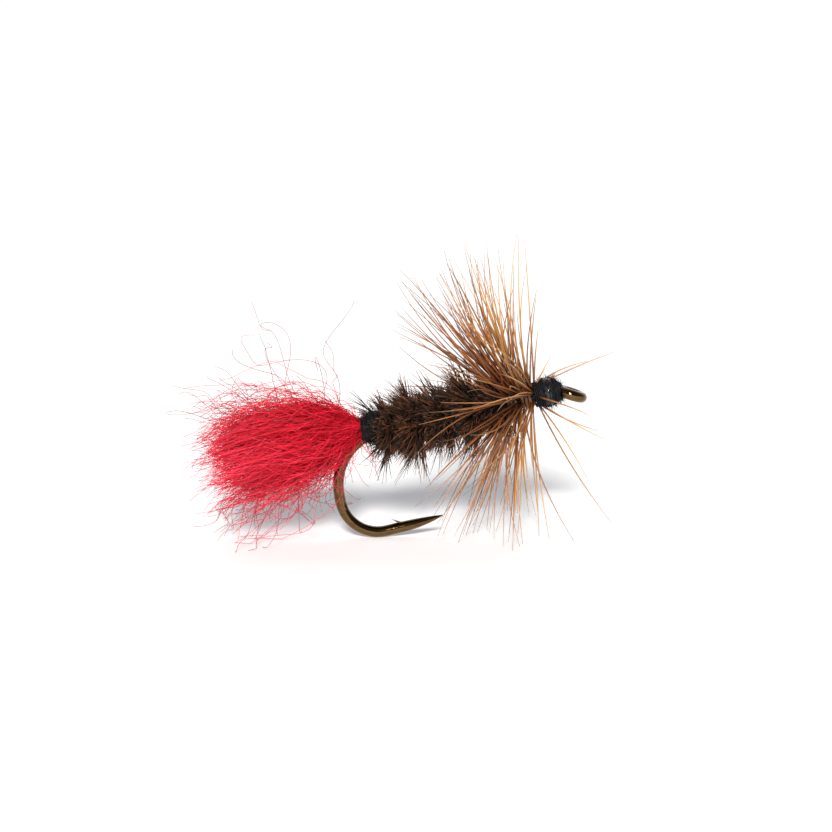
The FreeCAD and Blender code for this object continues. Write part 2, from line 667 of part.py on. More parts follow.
for piece in pieces:
    print(f"{piece.Label:22s} {len(piece.Shape.Solids):3d} solids {piece.Shape.Volume:9.4f} mm3")
eye = Vector(value(EYE_X), 0, value(EYE_Z))
bore = Vector(value("sin(Sizes.eye_turn)"), 0, value("cos(Sizes.eye_turn)"))
for name, (at, axis) in {**hinges, "eye bore": (eye, bore)}.items():
    at, axis = stance.multVec(at), stance.Rotation.multVec(axis)
    print(f"{name:22s} at {at.x:8.4f} {at.y:8.4f} {at.z:8.4f}")
    print(f"{'':16s} axis  {axis.x:8.4f} {axis.y:8.4f} {axis.z:8.4f}")
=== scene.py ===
"""The dry fly's looks: wool, herl, hackle, thread and bronzed wire, grown strand by strand on CAD.

Lengths are in millimetres in the shank's own frame until world() turns them into the row frame's metres:
x runs along the shank from the start of the bend towards the eye, y to the fly's left, and z away from
the point.
"""

import json
import math
import bpy
import numpy as np
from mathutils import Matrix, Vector

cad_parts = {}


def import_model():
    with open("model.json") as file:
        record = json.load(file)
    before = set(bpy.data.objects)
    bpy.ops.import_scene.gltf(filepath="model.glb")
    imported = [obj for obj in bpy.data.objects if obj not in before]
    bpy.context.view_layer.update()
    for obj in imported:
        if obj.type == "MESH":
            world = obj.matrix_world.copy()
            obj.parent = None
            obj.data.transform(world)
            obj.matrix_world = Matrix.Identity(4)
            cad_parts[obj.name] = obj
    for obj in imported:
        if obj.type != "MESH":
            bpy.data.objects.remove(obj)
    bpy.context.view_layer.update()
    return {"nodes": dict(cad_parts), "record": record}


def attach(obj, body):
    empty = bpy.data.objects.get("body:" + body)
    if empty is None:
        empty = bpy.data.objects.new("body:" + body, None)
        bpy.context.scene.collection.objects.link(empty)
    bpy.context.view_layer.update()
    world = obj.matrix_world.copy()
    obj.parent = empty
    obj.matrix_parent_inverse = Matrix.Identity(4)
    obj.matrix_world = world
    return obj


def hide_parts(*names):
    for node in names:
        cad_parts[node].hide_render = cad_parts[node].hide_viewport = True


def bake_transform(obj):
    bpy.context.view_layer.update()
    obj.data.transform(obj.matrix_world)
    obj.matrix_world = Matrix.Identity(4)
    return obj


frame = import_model()

MM = 0.001
FLOOR_GAP = 0.02  # least height of any strand over the floor
HACKLE_X = 7.854  # hinges of the hackle, along the shank
BOUND_R = 0.76  # wool bound along the shank, under the herl
STEM_R = 0.51  # centre of the wound hackle stems

joints = {j["name"]: j for j in frame["record"]["behaviour"]["joints"]}
hinge_at = {name: np.array(j["pos_m"]) for name, j in joints.items()}
AHEAD = hinge_at["tail_lift"] - hinge_at["tail_sway"]
AHEAD /= np.linalg.norm(AHEAD)
SIDE = np.array((0.0, 1.0, 0.0))
UP = np.cross(AHEAD, SIDE)
ORIGIN = (hinge_at["hackle_top"] + hinge_at["hackle_bottom"]) / 2 - AHEAD * HACKLE_X * MM


def world(points):
    """Points in the shank's frame, as metres in the row frame."""
    points = np.asarray(points, float)
    return ORIGIN + MM * (points[..., :1] * AHEAD + points[..., 1:2] * SIDE + points[..., 2:] * UP)


def unit(vectors):
    return vectors / np.maximum(np.linalg.norm(vectors, axis=-1, keepdims=True), 1e-12)


# ---- strands -------------------------------------------------------------------------------------


def tubes(paths, radii, sides):
    """Closed tapered tubes along paths (strands, points, 3), and each vertex's share of the way along."""
    strands, points, _ = paths.shape
    along = unit(np.gradient(paths, axis=1))
    across = np.zeros_like(paths)
    least = np.eye(3)[np.abs(along[:, 0]).argmin(axis=1)]
    across[:, 0] = unit(np.cross(along[:, 0], least))
    for i in range(1, points):
        last = across[:, i - 1]
        across[:, i] = unit(last - (last * along[:, i]).sum(1, keepdims=True) * along[:, i])
    other = np.cross(along, across)
    turn = np.arange(sides) * 2 * math.pi / sides
    ring = across[:, :, None] * np.cos(turn)[:, None] + other[:, :, None] * np.sin(turn)[:, None]
    places = paths[:, :, None] + ring * radii[:, :, None, None]
    share = np.broadcast_to(np.linspace(0, 1, points)[None, :, None], (strands, points, sides))
    return places.reshape(-1, 3), share.reshape(-1)


def tube_faces(strands, points, sides, first=0):
    """Quads round each tube, and one face at each end."""
    base = first + np.arange(strands)[:, None, None] * points * sides
    row = base + np.arange(points - 1)[None, :, None] * sides
    here, after = np.arange(sides), (np.arange(sides) + 1) % sides
    quads = np.stack([row + here, row + after, row + sides + after, row + sides + here], -1).reshape(-1, 4)
    start = base[:, 0] + here[::-1]
    end = base[:, 0] + (points - 1) * sides + here
    return quads.tolist() + start.tolist() + end.tolist()


def grow(name, groups, material, body=None):
    """One mesh of many strands. Each group is (paths, radii, sides), in the shank's frame.

    A fourth item fixes what the group's colour reads as its share of the way along.
    """
    vertices, faces, share, tone, maps = [], [], [], [], []
    count = 0
    dice = np.random.default_rng(len(name) * 7 + sum(map(ord, name)))
    for paths, radii, sides, *fixed in groups:
        strands, points, _ = paths.shape
        places, along = tubes(paths, radii, sides)
        vertices.append(world(places))
        faces += tube_faces(strands, points, sides, count)
        share.append(np.full_like(along, fixed[0]) if fixed else along)
        tone.append(np.repeat(dice.uniform(0, 1, strands), points * sides))
        maps.append(strand_map(strands, points, sides))
        count += len(places)
    mesh = bpy.data.meshes.new(name)
    mesh.from_pydata(np.concatenate(vertices).tolist(), [], faces)
    for label, values in (("along", share), ("tone", tone)):
        layer = mesh.attributes.new(label, "FLOAT", "POINT")
        layer.data.foreach_set("value", np.concatenate(values).astype(np.float32))
    corner = np.empty(len(mesh.loops), np.int32)
    mesh.loops.foreach_get("vertex_index", corner)
    uv = mesh.uv_layers.new(name="OFBake")
    uv.data.foreach_set("uv", np.concatenate(maps)[corner].astype(np.float32).ravel())
    mesh.polygons.foreach_set("use_smooth", np.ones(len(mesh.polygons), bool))
    mesh.materials.append(material)
    piece = bpy.data.objects.new(name, mesh)
    bpy.context.scene.collection.objects.link(piece)
    if body:
        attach(piece, body)
    return piece


def strand_map(strands, points, sides):
    """A place in the bake's image for each vertex: a cell for every strand, its root at the foot."""
    columns = math.ceil(math.sqrt(strands))
    rows = math.ceil(strands / columns)
    number = np.arange(strands)
    cell = np.stack([number % columns, number // columns], -1)[:, None, None]
    inside = np.empty((strands, points, sides, 2))
    inside[..., 0] = 0.15 + 0.7 * np.abs(np.arange(sides) / sides - 0.5) * 2
    inside[..., 1] = (0.06 + 0.88 * np.linspace(0, 1, points))[:, None]
    return ((cell + inside) / (columns, rows)).reshape(-1, 2)


def taper(paths, root, tip, power=1.0):
    """Radii along paths from root to tip. A power over 1 keeps a strand full for longer."""
    t = np.linspace(0, 1, paths.shape[1])
    shape = tip + (root - tip) * (1 - t**power)
    return np.broadcast_to(shape, paths.shape[:2]).copy()


def waves(dice, strands, points, size, turns):
    """Sideways wander of each strand: two sines on each axis, growing from nothing at the root."""
    t = np.linspace(0, 1, points)[None, :, None]
    out = np.zeros((strands, points, 3))
    for share, faster in ((1.0, 1.0), (0.45, 2.3)):
        phase = dice.uniform(0, 2 * math.pi, (strands, 1, 3))
        rate = dice.uniform(*turns, (strands, 1, 3)) * faster
        reach = dice.normal(0, 1, (strands, 1, 3)) * size * share
        out += reach * (np.sin(2 * math.pi * rate * t + phase) - np.sin(phase))
    return out * np.minimum(t * 2.5, 1)


def off_floor(paths):
    """Lifts whatever would go through the floor, bending it along the surface."""
    low = world(paths)[..., 2] / MM
    lift = np.maximum(FLOOR_GAP + 0.03 - low, 0)
    moved = paths.copy()
    moved += lift[..., None] * np.array((AHEAD[2], SIDE[2], UP[2]))
    return moved


# ---- materials -----------------------------------------------------------------------------------


def shader(name, roughness, **sockets):
    """A Principled material with the constant values set on its own sockets."""
    material = bpy.data.materials.new(name)
    material.use_nodes = True
    nodes = material.node_tree.nodes
    surface = nodes["Principled BSDF"]
    surface.inputs["Roughness"].default_value = roughness
    for label, number in sockets.items():
        surface.inputs[label.replace("_", " ")].default_value = number
    return material, nodes, material.node_tree.links, surface


def ramp(nodes, stops):
    node = nodes.new("ShaderNodeValToRGB")
    elements = node.color_ramp.elements
    while len(elements) < len(stops):
        elements.new(0.5)
    for element, (at, colour) in zip(elements, stops):
        element.position = at
        element.color = (*colour, 1)
    return node


def add_grain(nodes, links, surface, scale, depth, roughness, stretch=(1, 1, 1)):
    """Fine noise that roughens the surface and varies its gloss."""
    where = nodes.new("ShaderNodeTexCoord")
    fit = nodes.new("ShaderNodeMapping")
    fit.inputs["Scale"].default_value = stretch
    noise = nodes.new("ShaderNodeTexNoise")
    noise.inputs["Scale"].default_value = scale
    noise.inputs["Detail"].default_value = 5
    links.new(where.outputs["Object"], fit.inputs["Vector"])
    links.new(fit.outputs["Vector"], noise.inputs["Vector"])
    gloss = nodes.new("ShaderNodeMapRange")
    gloss.inputs["To Min"].default_value, gloss.inputs["To Max"].default_value = roughness
    links.new(noise.outputs["Fac"], gloss.inputs["Value"])
    links.new(gloss.outputs["Result"], surface.inputs["Roughness"])
    bump = nodes.new("ShaderNodeBump")
    bump.inputs["Strength"].default_value = 0.6
    bump.inputs["Distance"].default_value = depth
    links.new(noise.outputs["Fac"], bump.inputs["Height"])
    links.new(bump.outputs["Normal"], surface.inputs["Normal"])
    return noise


def strand_material(name, along, tones, roughness, grain=30000.0, **sockets):
    """Colour from root to tip by along, multiplied by a tone of each strand's own."""
    material, nodes, links, surface = shader(name, sum(roughness) / 2, **sockets)
    reads = {}
    for label in ("along", "tone"):
        reads[label] = nodes.new("ShaderNodeAttribute")
        reads[label].attribute_name = label
    lengthwise, each = ramp(nodes, along), ramp(nodes, tones)
    links.new(reads["along"].outputs["Fac"], lengthwise.inputs["Fac"])
    links.new(reads["tone"].outputs["Fac"], each.inputs["Fac"])
    mix = nodes.new("ShaderNodeMix")
    mix.data_type = "RGBA"
    mix.blend_type = "MULTIPLY"
    mix.inputs["Factor"].default_value = 1
    links.new(lengthwise.outputs["Color"], mix.inputs["A"])
    links.new(each.outputs["Color"], mix.inputs["B"])
    links.new(mix.outputs["Result"], surface.inputs["Base Color"])
    add_grain(nodes, links, surface, grain, 0.000004, roughness)
    return material


def blotched_material(name, stops, scale, depth, roughness, stretch=(1, 1, 1), **sockets):
    """Colour from noise, for wire and thread."""
    material, nodes, links, surface = shader(name, sum(roughness) / 2, **sockets)
    noise = add_grain(nodes, links, surface, scale, depth, roughness, stretch)
    colour = ramp(nodes, stops)
    links.new(noise.outputs["Fac"], colour.inputs["Fac"])
    links.new(colour.outputs["Color"], surface.inputs["Base Color"])
    return material


def make_materials():
    made = {}
    made["wool"] = strand_material(
        "red_wool",
        ((0.0, (0.60, 0.003, 0.016)), (0.55, (0.78, 0.007, 0.026)), (1.0, (0.82, 0.02, 0.05))),
        ((0.0, (0.55, 0.55, 0.6)), (0.7, (1, 1, 1)), (1.0, (1.1, 4.0, 2.8))),
        (0.5, 0.75),
        Specular_IOR_Level=0.25,
    )
    made["stray"] = strand_material(
        "stray_wool",
        ((0.0, (0.50, 0.006, 0.02)), (0.5, (0.45, 0.03, 0.05)), (1.0, (0.34, 0.08, 0.1))),
        ((0.0, (0.6, 0.65, 0.7)), (0.7, (1, 1, 1)), (1.0, (1.2, 1.8, 1.7))),
        (0.5, 0.75),
        Specular_IOR_Level=0.25,
    )
    made["herl"] = strand_material(
        "dark_herl",
        ((0.0, (0.004, 0.0035, 0.0035)), (0.4, (0.012, 0.008, 0.006)), (1.0, (0.085, 0.041, 0.023))),
        ((0.0, (0.3, 0.34, 0.4)), (0.6, (1, 1, 1)), (1.0, (3.6, 2.5, 1.9))),
        (0.45, 0.7),
        Specular_IOR_Level=0.18,
    )
    made["brown"] = strand_material(
        "brown_hackle",
        (
            (0.0, (0.05, 0.014, 0.006)), (0.3, (0.19, 0.055, 0.013)),
            (0.75, (0.34, 0.13, 0.032)), (1.0, (0.20, 0.095, 0.045)),
        ),
        ((0.0, (0.5, 0.42, 0.4)), (0.6, (1, 1, 1)), (1.0, (1.5, 1.45, 1.3))),
        (0.25, 0.45),
        Specular_IOR_Level=0.6,
    )
    made["ginger"] = strand_material(
        "ginger_hackle",
        (
            (0.0, (0.09, 0.026, 0.008)), (0.3, (0.33, 0.125, 0.022)),
            (0.75, (0.50, 0.25, 0.055)), (1.0, (0.29, 0.16, 0.06)),
        ),
        ((0.0, (0.45, 0.38, 0.34)), (0.55, (1, 1, 1)), (1.0, (1.35, 1.35, 1.2))),
        (0.25, 0.45),
        Specular_IOR_Level=0.6,
    )
    made["thread"] = strand_material(
        "black_thread",
        ((0.0, (0.004, 0.004, 0.0045)), (1.0, (0.007, 0.007, 0.008))),
        ((0.0, (0.6, 0.6, 0.6)), (1.0, (1.8, 1.8, 1.9))),
        (0.4, 0.65),
        grain=60000.0,
        Specular_IOR_Level=0.1,
    )
    made["wound_thread"] = blotched_material(
        "wound_black_thread",
        ((0.35, (0.003, 0.003, 0.0035)), (0.7, (0.009, 0.009, 0.01))),
        40000.0, 0.000006, (0.4, 0.7),
        Specular_IOR_Level=0.1,
    )
    made["varnish"] = blotched_material(
        "head_varnish",
        ((0.4, (0.003, 0.003, 0.004)), (0.7, (0.008, 0.008, 0.01))),
        4000.0, 0.000006, (0.16, 0.3),
        Specular_IOR_Level=0.4,
        Coat_Weight=0.6,
        Coat_Roughness=0.05,
    )
    made["bronze"] = blotched_material(
        "hook_bronze",
        ((0.35, (0.085, 0.042, 0.010)), (0.55, (0.14, 0.078, 0.020)), (0.75, (0.06, 0.026, 0.007))),
        2500.0, 0.0000008, (0.05, 0.11),
        stretch=(0.4, 1.6, 1.6),
        Metallic=1.0,
        Coat_Weight=0.5,
        Coat_Roughness=0.04,
    )
    made["wound_wool"] = blotched_material(
        "bound_red_wool",
        ((0.35, (0.07, 0.003, 0.005)), (0.7, (0.16, 0.005, 0.009))),
        15000.0, 0.00001, (0.6, 0.85),
    )
    made["stem"] = blotched_material(
        "hackle_stem",
        ((0.35, (0.06, 0.02, 0.008)), (0.7, (0.2, 0.08, 0.03))),
        12000.0, 0.000004, (0.3, 0.5),
    )
    return made


# ---- tail ----------------------------------------------------------------------------------------

TIE_BACK = -1.22  # back of the thread that binds the tail
NECK = np.array((TIE_BACK + 0.25, 0.0, 0.3))
NECK_R = 0.38
TAIL_END = np.array((-9.8, 0.0, 0.1))
TAIL_HALF = (2.3, 2.55)  # half width and half height of the brush at its end
LOCKS = 78  # fibres cling together in this many locks
LOCK_SIZE = 0.14  # half width of a lock, as a share of the brush's


def disc(dice, count, power=0.5):
    """Points in a disc of radius 1. A power under a half crowds them towards the rim."""
    reach = dice.uniform(0, 1, count) ** power
    turn = dice.uniform(0, 2 * math.pi, count)
    return reach * np.cos(turn), reach * np.sin(turn)


def wool_paths(
    dice, count, points, length=(0.72, 1.04),
    frizz=0.16, turns=(0.8, 2.2), spread=1.0, power=0.5, stray=0.2,
):
    """Fibres from the neck to the brush's end, gathered in locks that leave gaps between them."""
    lock_a, lock_b = disc(dice, LOCKS, power)
    a, b = disc(dice, count)
    member = dice.integers(0, LOCKS, count)
    a, b = lock_a[member] + a * LOCK_SIZE, lock_b[member] + b * LOCK_SIZE
    t = np.linspace(0, 1, points)[None, :, None]
    root = np.stack([np.full(count, NECK[0]), a * NECK_R, NECK[2] + b * NECK_R], -1)
    root += dice.normal(0, 0.05, root.shape)
    share = dice.uniform(*length, count)
    end = np.stack([
        TAIL_END[0] + 0.9 * (a * a + b * b) + dice.normal(0, 0.45, count),
        a * TAIL_HALF[0] * spread + dice.normal(0, stray, count),
        TAIL_END[2] + b * TAIL_HALF[1] * spread + dice.normal(0, stray, count),
    ], -1)
    end = root + (end - root) * share[:, None]
    lift = np.where(b > 0, b * 1.0, b * 0.5)
    bow = np.stack([np.zeros(count), a * 0.7, 0.15 + lift], -1) * spread
    bowed = bow[:, None] * np.sin(math.pi * t) * share[:, None, None]
    path = root[:, None] + (end - root)[:, None] * t + bowed
    together = waves(dice, LOCKS, points, frizz, (0.4, 1.1))[member]
    return off_floor(path + together + waves(dice, count, points, frizz * 0.85, turns))


def add_tail(materials):
    dice = np.random.default_rng(11)
    made = []
    for name, count, frizz, power, stray in (
        ("tail_wool_inner", 780, 0.14, 0.6, 0.15), ("tail_wool_outer", 780, 0.24, 0.38, 0.4),
    ):
        paths = wool_paths(dice, count, 17, frizz=frizz, turns=(0.9, 2.9), power=power, stray=stray)
        made.append(grow(name, [(paths, taper(paths, 0.0205, 0.012), 3)], materials["wool"]))
    loose = wool_paths(
        dice, 430, 26, (0.4, 1.1), frizz=0.36, turns=(0.8, 2.0), spread=1.2, power=0.3, stray=0.8,
    )
    made.append(grow("tail_wool_loose", [(loose, taper(loose, 0.018, 0.013), 3)], materials["wool"]))
    crossing = wool_paths(
        dice, 210, 30, (0.45, 1.0), frizz=0.3, turns=(1.2, 3.2), spread=1.08, power=0.3, stray=1.3,
    )
    radii = taper(crossing, 0.017, 0.012)
    made.append(grow("tail_wool_crossing", [(crossing, radii, 3)], materials["wool"]))
    strays, wisps = stray_paths(dice)
    radii = taper(strays, 0.019, 0.014)
    made.append(grow("tail_wool_strays", [(strays, radii, 3)], materials["stray"]))
    for piece in made:
        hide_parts("tail_wool_brush")
        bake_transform(piece)
    neck = wool_paths(dice, 800, 10, (0.16, 0.3), frizz=0.03)
    for name, paths, radii, material in (
        ("tail_wool_neck", neck, taper(neck, 0.026, 0.014), "wool"),
        ("tail_wool_wisps", wisps, taper(wisps, 0.018, 0.013), "stray"),
    ):
        piece = grow(name, [(paths, radii, 3)], materials[material])
        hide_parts("tail_wool_root")
        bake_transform(piece)


def stray_paths(dice):
    """Single long fibres off the brush, above and below it, and the few thin ones inside the bend."""
    points = 46
    t = np.linspace(0, 1, points)[None, :, None]
    made = []
    for count, x_range, z_from, heading_x, heading_z, length, size, turns in (
        (42, (-7.0, -1.6), 1.2, (-1.1, -0.5), (0.1, 0.75), (2.5, 5.5), 0.32, (0.4, 1.2)),
        (9, (-5.5, -1.6), 1.0, (-0.6, 0.5), (0.6, 1.0), (4.0, 6.5), 0.75, (0.6, 1.5)),
        (95, (-7.5, -1.3), -0.7, (-1.0, -0.3), (-0.95, -0.25), (2.2, 4.8), 0.34, (0.4, 1.3)),
        (10, (-5.5, -2.2), -0.8, (-0.3, 0.5), (-1.0, -0.6), (2.5, 4.0), 0.6, (0.6, 1.5)),
        (9, (-1.7, -1.1), -0.3, (0.0, 0.6), (-1.0, -0.7), (2.0, 3.8), 0.25, (0.5, 1.1)),
    ):
        side = dice.uniform(-0.9, 0.9, count)
        x = dice.uniform(*x_range, count)
        widening = np.clip((-x - 0.8) / 4.5, 0.1, 1)
        height = z_from * 1.7 * widening * np.sqrt(1 - side**2 * 0.7)
        root = np.stack([x, side * 1.6 * widening, 0.2 + height], -1)
        along, upward = dice.uniform(*heading_x, count), dice.uniform(*heading_z, count)
        heading = np.stack([along, side * 0.4, upward], -1)
        path = root[:, None] + unit(heading)[:, None] * dice.uniform(*length, (count, 1, 1)) * t
        made.append(path + waves(dice, count, points, size, turns))
    stiff = np.array((-1.3, -0.62, -0.05)) + np.array((-3.2, -0.9, -1.6)) * t
    *off_brush, in_bend = made
    return off_floor(np.concatenate(off_brush + [stiff])), off_floor(in_bend)


# ---- body ----------------------------------------------------------------------------------------

HERL_START, HERL_END = -0.15, 6.95
HERL_PITCH = 1.2
HERLS = 3
TUFT_PITCH = 1.25  # from one bushy turn of the herl rope to the next
TUFT_SIZE = 11  # barbules that cling together


def shank_helix(start, turns, pitch, radius, points, phase=0.0):
    t = np.linspace(0, 1, points)
    turn = 2 * math.pi * turns * t + phase
    return np.stack([start + pitch * turns * t, radius * np.sin(turn), radius * np.cos(turn)], -1)


def barbules(dice, count, phase, lean=0.42, lean_spread=0.34, reach=1.72):
    """Short fibres that stand on a herl's quill in tufts, longest on the crest of each bushy turn."""
    points = 8
    tufts = count // TUFT_SIZE
    member = dice.integers(0, tufts, count)
    x_tuft = HERL_START + (HERL_END - HERL_START) * dice.uniform(0, 1, tufts)
    x = x_tuft[member] + dice.normal(0, 0.09, count)
    turn_tuft = 2 * math.pi * (x_tuft - HERL_START) / HERL_PITCH + phase + dice.normal(0, 0.5, tufts)
    turn = turn_tuft[member] + dice.normal(0, 0.16, count)
    crest = 0.5 + 0.5 * np.cos(2 * math.pi * x_tuft / TUFT_PITCH - turn_tuft * 0.25)
    ends = np.clip(np.minimum((x_tuft - HERL_START + 1.2) / 2.0, (HERL_END + 0.8 - x_tuft) / 1.6), 0, 1)
    full = dice.uniform(0.6, 1.2, tufts) * (0.6 + 0.85 * crest**1.5) * (0.5 + 0.5 * ends)
    length = full[member] * dice.uniform(0.5, 1.1, count) * reach
    outward = np.stack([np.zeros(count), np.sin(turn), np.cos(turn)], -1)
    sideways = np.stack([np.zeros(count), np.cos(turn), -np.sin(turn)], -1)
    back = np.array((-1.0, 0, 0))
    leaning = dice.normal(lean, lean_spread, tufts)[member] + dice.normal(0, 0.13, count)
    twist = dice.normal(0, 0.45, tufts)[member] + dice.normal(0, 0.13, count)
    heading = unit(outward + back * leaning[:, None] + sideways * twist[:, None])
    root = np.stack([x, np.zeros(count), np.zeros(count)], -1) + outward * (BOUND_R + 0.05)
    t = np.linspace(0, 1, points)[None, :, None]
    sag = back * dice.normal(0.2, 0.2, (count, 1)) + sideways * dice.normal(0, 0.25, (count, 1))
    return root[:, None] + (heading[:, None] * t + sag[:, None] * t**2 * 0.6) * length[:, None, None]


def add_body(materials):
    dice = np.random.default_rng(23)
    for number in range(HERLS):
        phase = 2 * math.pi * number / HERLS
        turns = (HERL_END - HERL_START) / HERL_PITCH
        quill = shank_helix(HERL_START, turns, HERL_PITCH, BOUND_R + 0.04, 260, phase)[None]
        flue = barbules(dice, 1150, phase)
        cover = barbules(dice, 1000, phase, lean=1.4, lean_spread=1.1, reach=0.85)
        groups = [
            (quill, taper(quill, 0.2, 0.2), 6, 0.0),
            (flue, taper(flue, 0.038, 0.008, power=1.8), 3),
            (cover, taper(cover, 0.034, 0.008, power=1.8), 3),
        ]
        piece = grow(f"herl_{number + 1}", groups, materials["herl"], "fly")
        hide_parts(f"herl_strand_{number + 1}")


# ---- hackle --------------------------------------------------------------------------------------

FORWARD = (  # barbs held forwards by the head's thread: degrees round the shank, degrees back, length
    (6, -13, 3.2), (-12, -36, 2.0), (16, -62, 3.2), (-8, -74, 4.8), (184, -46, 4.4), (172, -41, 3.8),
    (178, -27, 5.2), (190, -12, 7.9), (8, -10, 8.2), (265, -20, 6.5), (95, -25, 6.0),
)
SECTORS = {"top": 0.0, "left": 90.0, "bottom": 180.0, "right": 270.0}  # degrees from the top towards +y
LEAN_LIMITS = (2, 48)  # least and most that a barb leans back, in degrees
SIDES_LEAN, TOP_FORWARD = 30, 7  # degrees more at the sides; forwards at the top and back at the bottom
BARB_AHEAD_X = 8.9  # roots of the barbs in FORWARD
BARB_ROOT, BARB_TIP = 0.050, 0.009  # radii


def barb_paths(dice, turn, lean, length, root_x, points=11):
    """Barbs rooted at root_x on the wound stem, turn degrees round the shank, leaning lean degrees back."""
    count = len(turn)
    turn, lean = np.radians(turn), np.radians(lean)
    outward = np.stack([np.zeros(count), np.sin(turn), np.cos(turn)], -1)
    sideways = np.stack([np.zeros(count), np.cos(turn), -np.sin(turn)], -1)
    back = np.array((-1.0, 0, 0))
    heading = outward * np.cos(lean)[:, None] + back * np.sin(lean)[:, None]
    normal = back * np.cos(lean)[:, None] - outward * np.sin(lean)[:, None]
    root = np.stack([root_x, np.zeros(count), np.zeros(count)], -1) + outward * (STEM_R - 0.05)
    t = np.linspace(0, 1, points)[None, :, None]
    bend = normal * dice.normal(-0.03, 0.08, (count, 1)) + sideways * dice.normal(0, 0.08, (count, 1))
    reach = length[:, None, None]
    path = root[:, None] + (heading[:, None] * t + bend[:, None] * (t**2) * 1.4) * reach
    tip_z = world(path[:, -1])[:, 2] / MM
    root_z = world(path[:, 0])[:, 2] / MM
    short = np.where(tip_z < FLOOR_GAP, (root_z - FLOOR_GAP) / np.maximum(root_z - tip_z, 1e-6), 1)
    return root[:, None] + (path - root[:, None]) * short[:, None, None]


def add_hackle(materials):
    dice = np.random.default_rng(37)
    plans = {
        "brown": (205, (28, 11), (6.95, 7.9)),
        "ginger": (165, (13, 8), (7.85, 8.75)),
    }
    for colour, (count, (lean, lean_spread), (low, high)) in plans.items():
        turn = dice.uniform(-45, 315, count)
        upright = np.abs(np.cos(np.radians(turn)))
        chance = np.where(np.abs(turn - 180) < 60, 0.52, 0.12 + 0.88 * upright)
        keep = dice.uniform(0, 1, count) < chance
        turn, upright = turn[keep], upright[keep]
        count = len(turn)
        lean_all = np.clip(dice.normal(lean, lean_spread, count), *LEAN_LIMITS)
        lean_all += SIDES_LEAN * (1 - upright) ** 2 - TOP_FORWARD * np.cos(np.radians(turn))
        length = dice.normal(7.95, 0.6, count)
        length = np.where(dice.uniform(0, 1, count) < 0.2, length * dice.uniform(0.55, 0.85, count), length)
        root_x = dice.uniform(low, high, count)
        paths = barb_paths(dice, turn, lean_all, length, root_x)
        sector = ((turn + 45) // 90).astype(int) % 4
        for number, (side, facing) in enumerate(SECTORS.items()):
            mine = paths[sector == number]
            radii = taper(mine, BARB_ROOT, BARB_TIP, power=1.7)
            piece = grow(f"{colour}_hackle_{side}", [(mine, radii, 5)], materials[colour])
            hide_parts(f"{colour}_barbs_{side}")
            facing = math.radians(facing)
            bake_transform(piece)
    turn, lean, length = np.array(FORWARD).T
    paths = barb_paths(dice, turn, lean, length, np.full(len(turn), BARB_AHEAD_X))
    radii = taper(paths, BARB_ROOT, BARB_TIP, power=1.7)
    piece = grow("ginger_hackle_ahead", [(paths, radii, 5)], materials["ginger"], "fly")


# ---- head ----------------------------------------------------------------------------------------

HEAD_BACK, HEAD_FRONT = 8.95, 10.42
HEAD_TURNS = 15
VARNISH_BACK, VARNISH_FRONT = 9.28, 9.9
TIE_FRONT, TIE_Z = 0.22, 0.24  # front of the thread that binds the tail, and its middle's height
NECK_X = 10.0  # where the wire turns down to the eye


def head_profile(x):
    """Outer radius of the thread head along the shank: full behind, tapered to the wire in front."""
    t = np.clip((x - HEAD_BACK) / (HEAD_FRONT - HEAD_BACK), 0, 1)
    return 0.36 + 0.46 * np.sin(math.pi * np.clip(0.14 + 0.86 * t, 0, 1)) ** 0.7


def head_centre(x):
    """The wire's axis falls away in front of the shank, and the thread follows it."""
    return -0.45 * np.maximum(x - NECK_X, 0) ** 1.4


def rough_turns(dice, count, start, end, profile, centre, tilt):
    """Turns of thread that slant and cross one another unevenly, between start and end along the shank."""
    turn = np.linspace(0, 2 * math.pi, 27)[None] + dice.uniform(0, 6, (count, 1))
    middle = dice.uniform(start, end, (count, 1))
    slant = dice.normal(0, tilt, (count, 1)) * np.cos(turn + dice.uniform(0, 6, (count, 1)))
    x = np.clip(middle + slant, start, end)
    radius = profile(x) + dice.normal(0, 0.025, (count, 1)) + 0.02 * np.sin(2 * turn + middle * 9)
    return np.stack([x, radius * np.sin(turn), radius * np.cos(turn) + centre(x)], -1)


def tie_profile(x):
    """Outer radius of the lump of thread that binds the tail."""
    t = np.clip((x - TIE_BACK) / (TIE_FRONT - TIE_BACK), 0, 1)
    return 0.4 + 0.38 * np.sin(math.pi * (0.04 + 0.84 * t)) ** 0.7


def tie_centre(x):
    return np.full_like(x, TIE_Z)


def add_head(materials):
    dice = np.random.default_rng(41)
    spiral = shank_helix(HEAD_BACK, HEAD_TURNS, (HEAD_FRONT - HEAD_BACK) / HEAD_TURNS, 1.0, 400)[None]
    spiral[..., 1:] *= head_profile(spiral[..., :1]) - 0.08
    spiral[..., 2] += head_centre(spiral[..., 0])
    turns = rough_turns(dice, 54, HEAD_BACK, HEAD_FRONT, lambda x: head_profile(x) - 0.05, head_centre, 0.2)
    fuzz = fuzz_paths(dice, 700, HEAD_BACK, HEAD_FRONT, head_profile, head_centre, 0.3)
    groups = [
        (spiral, taper(spiral, 0.06, 0.06), 6),
        (turns, taper(turns, 0.042, 0.042), 5),
        (fuzz, taper(fuzz, 0.015, 0.007), 3),
    ]
    piece = grow("head_thread", groups, materials["thread"], "fly")
    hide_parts("head_wraps")
    add_varnish(materials)
    turns = rough_turns(dice, 60, TIE_BACK, TIE_FRONT, tie_profile, tie_centre, 0.16)
    fuzz = fuzz_paths(dice, 850, TIE_BACK - 0.05, TIE_FRONT, tie_profile, tie_centre, 0.44)
    groups = [(turns, taper(turns, 0.05, 0.05), 5), (fuzz, taper(fuzz, 0.018, 0.007), 3)]
    piece = grow("tail_tie_thread", groups, materials["thread"], "fly")
    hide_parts("tail_tie_wraps")


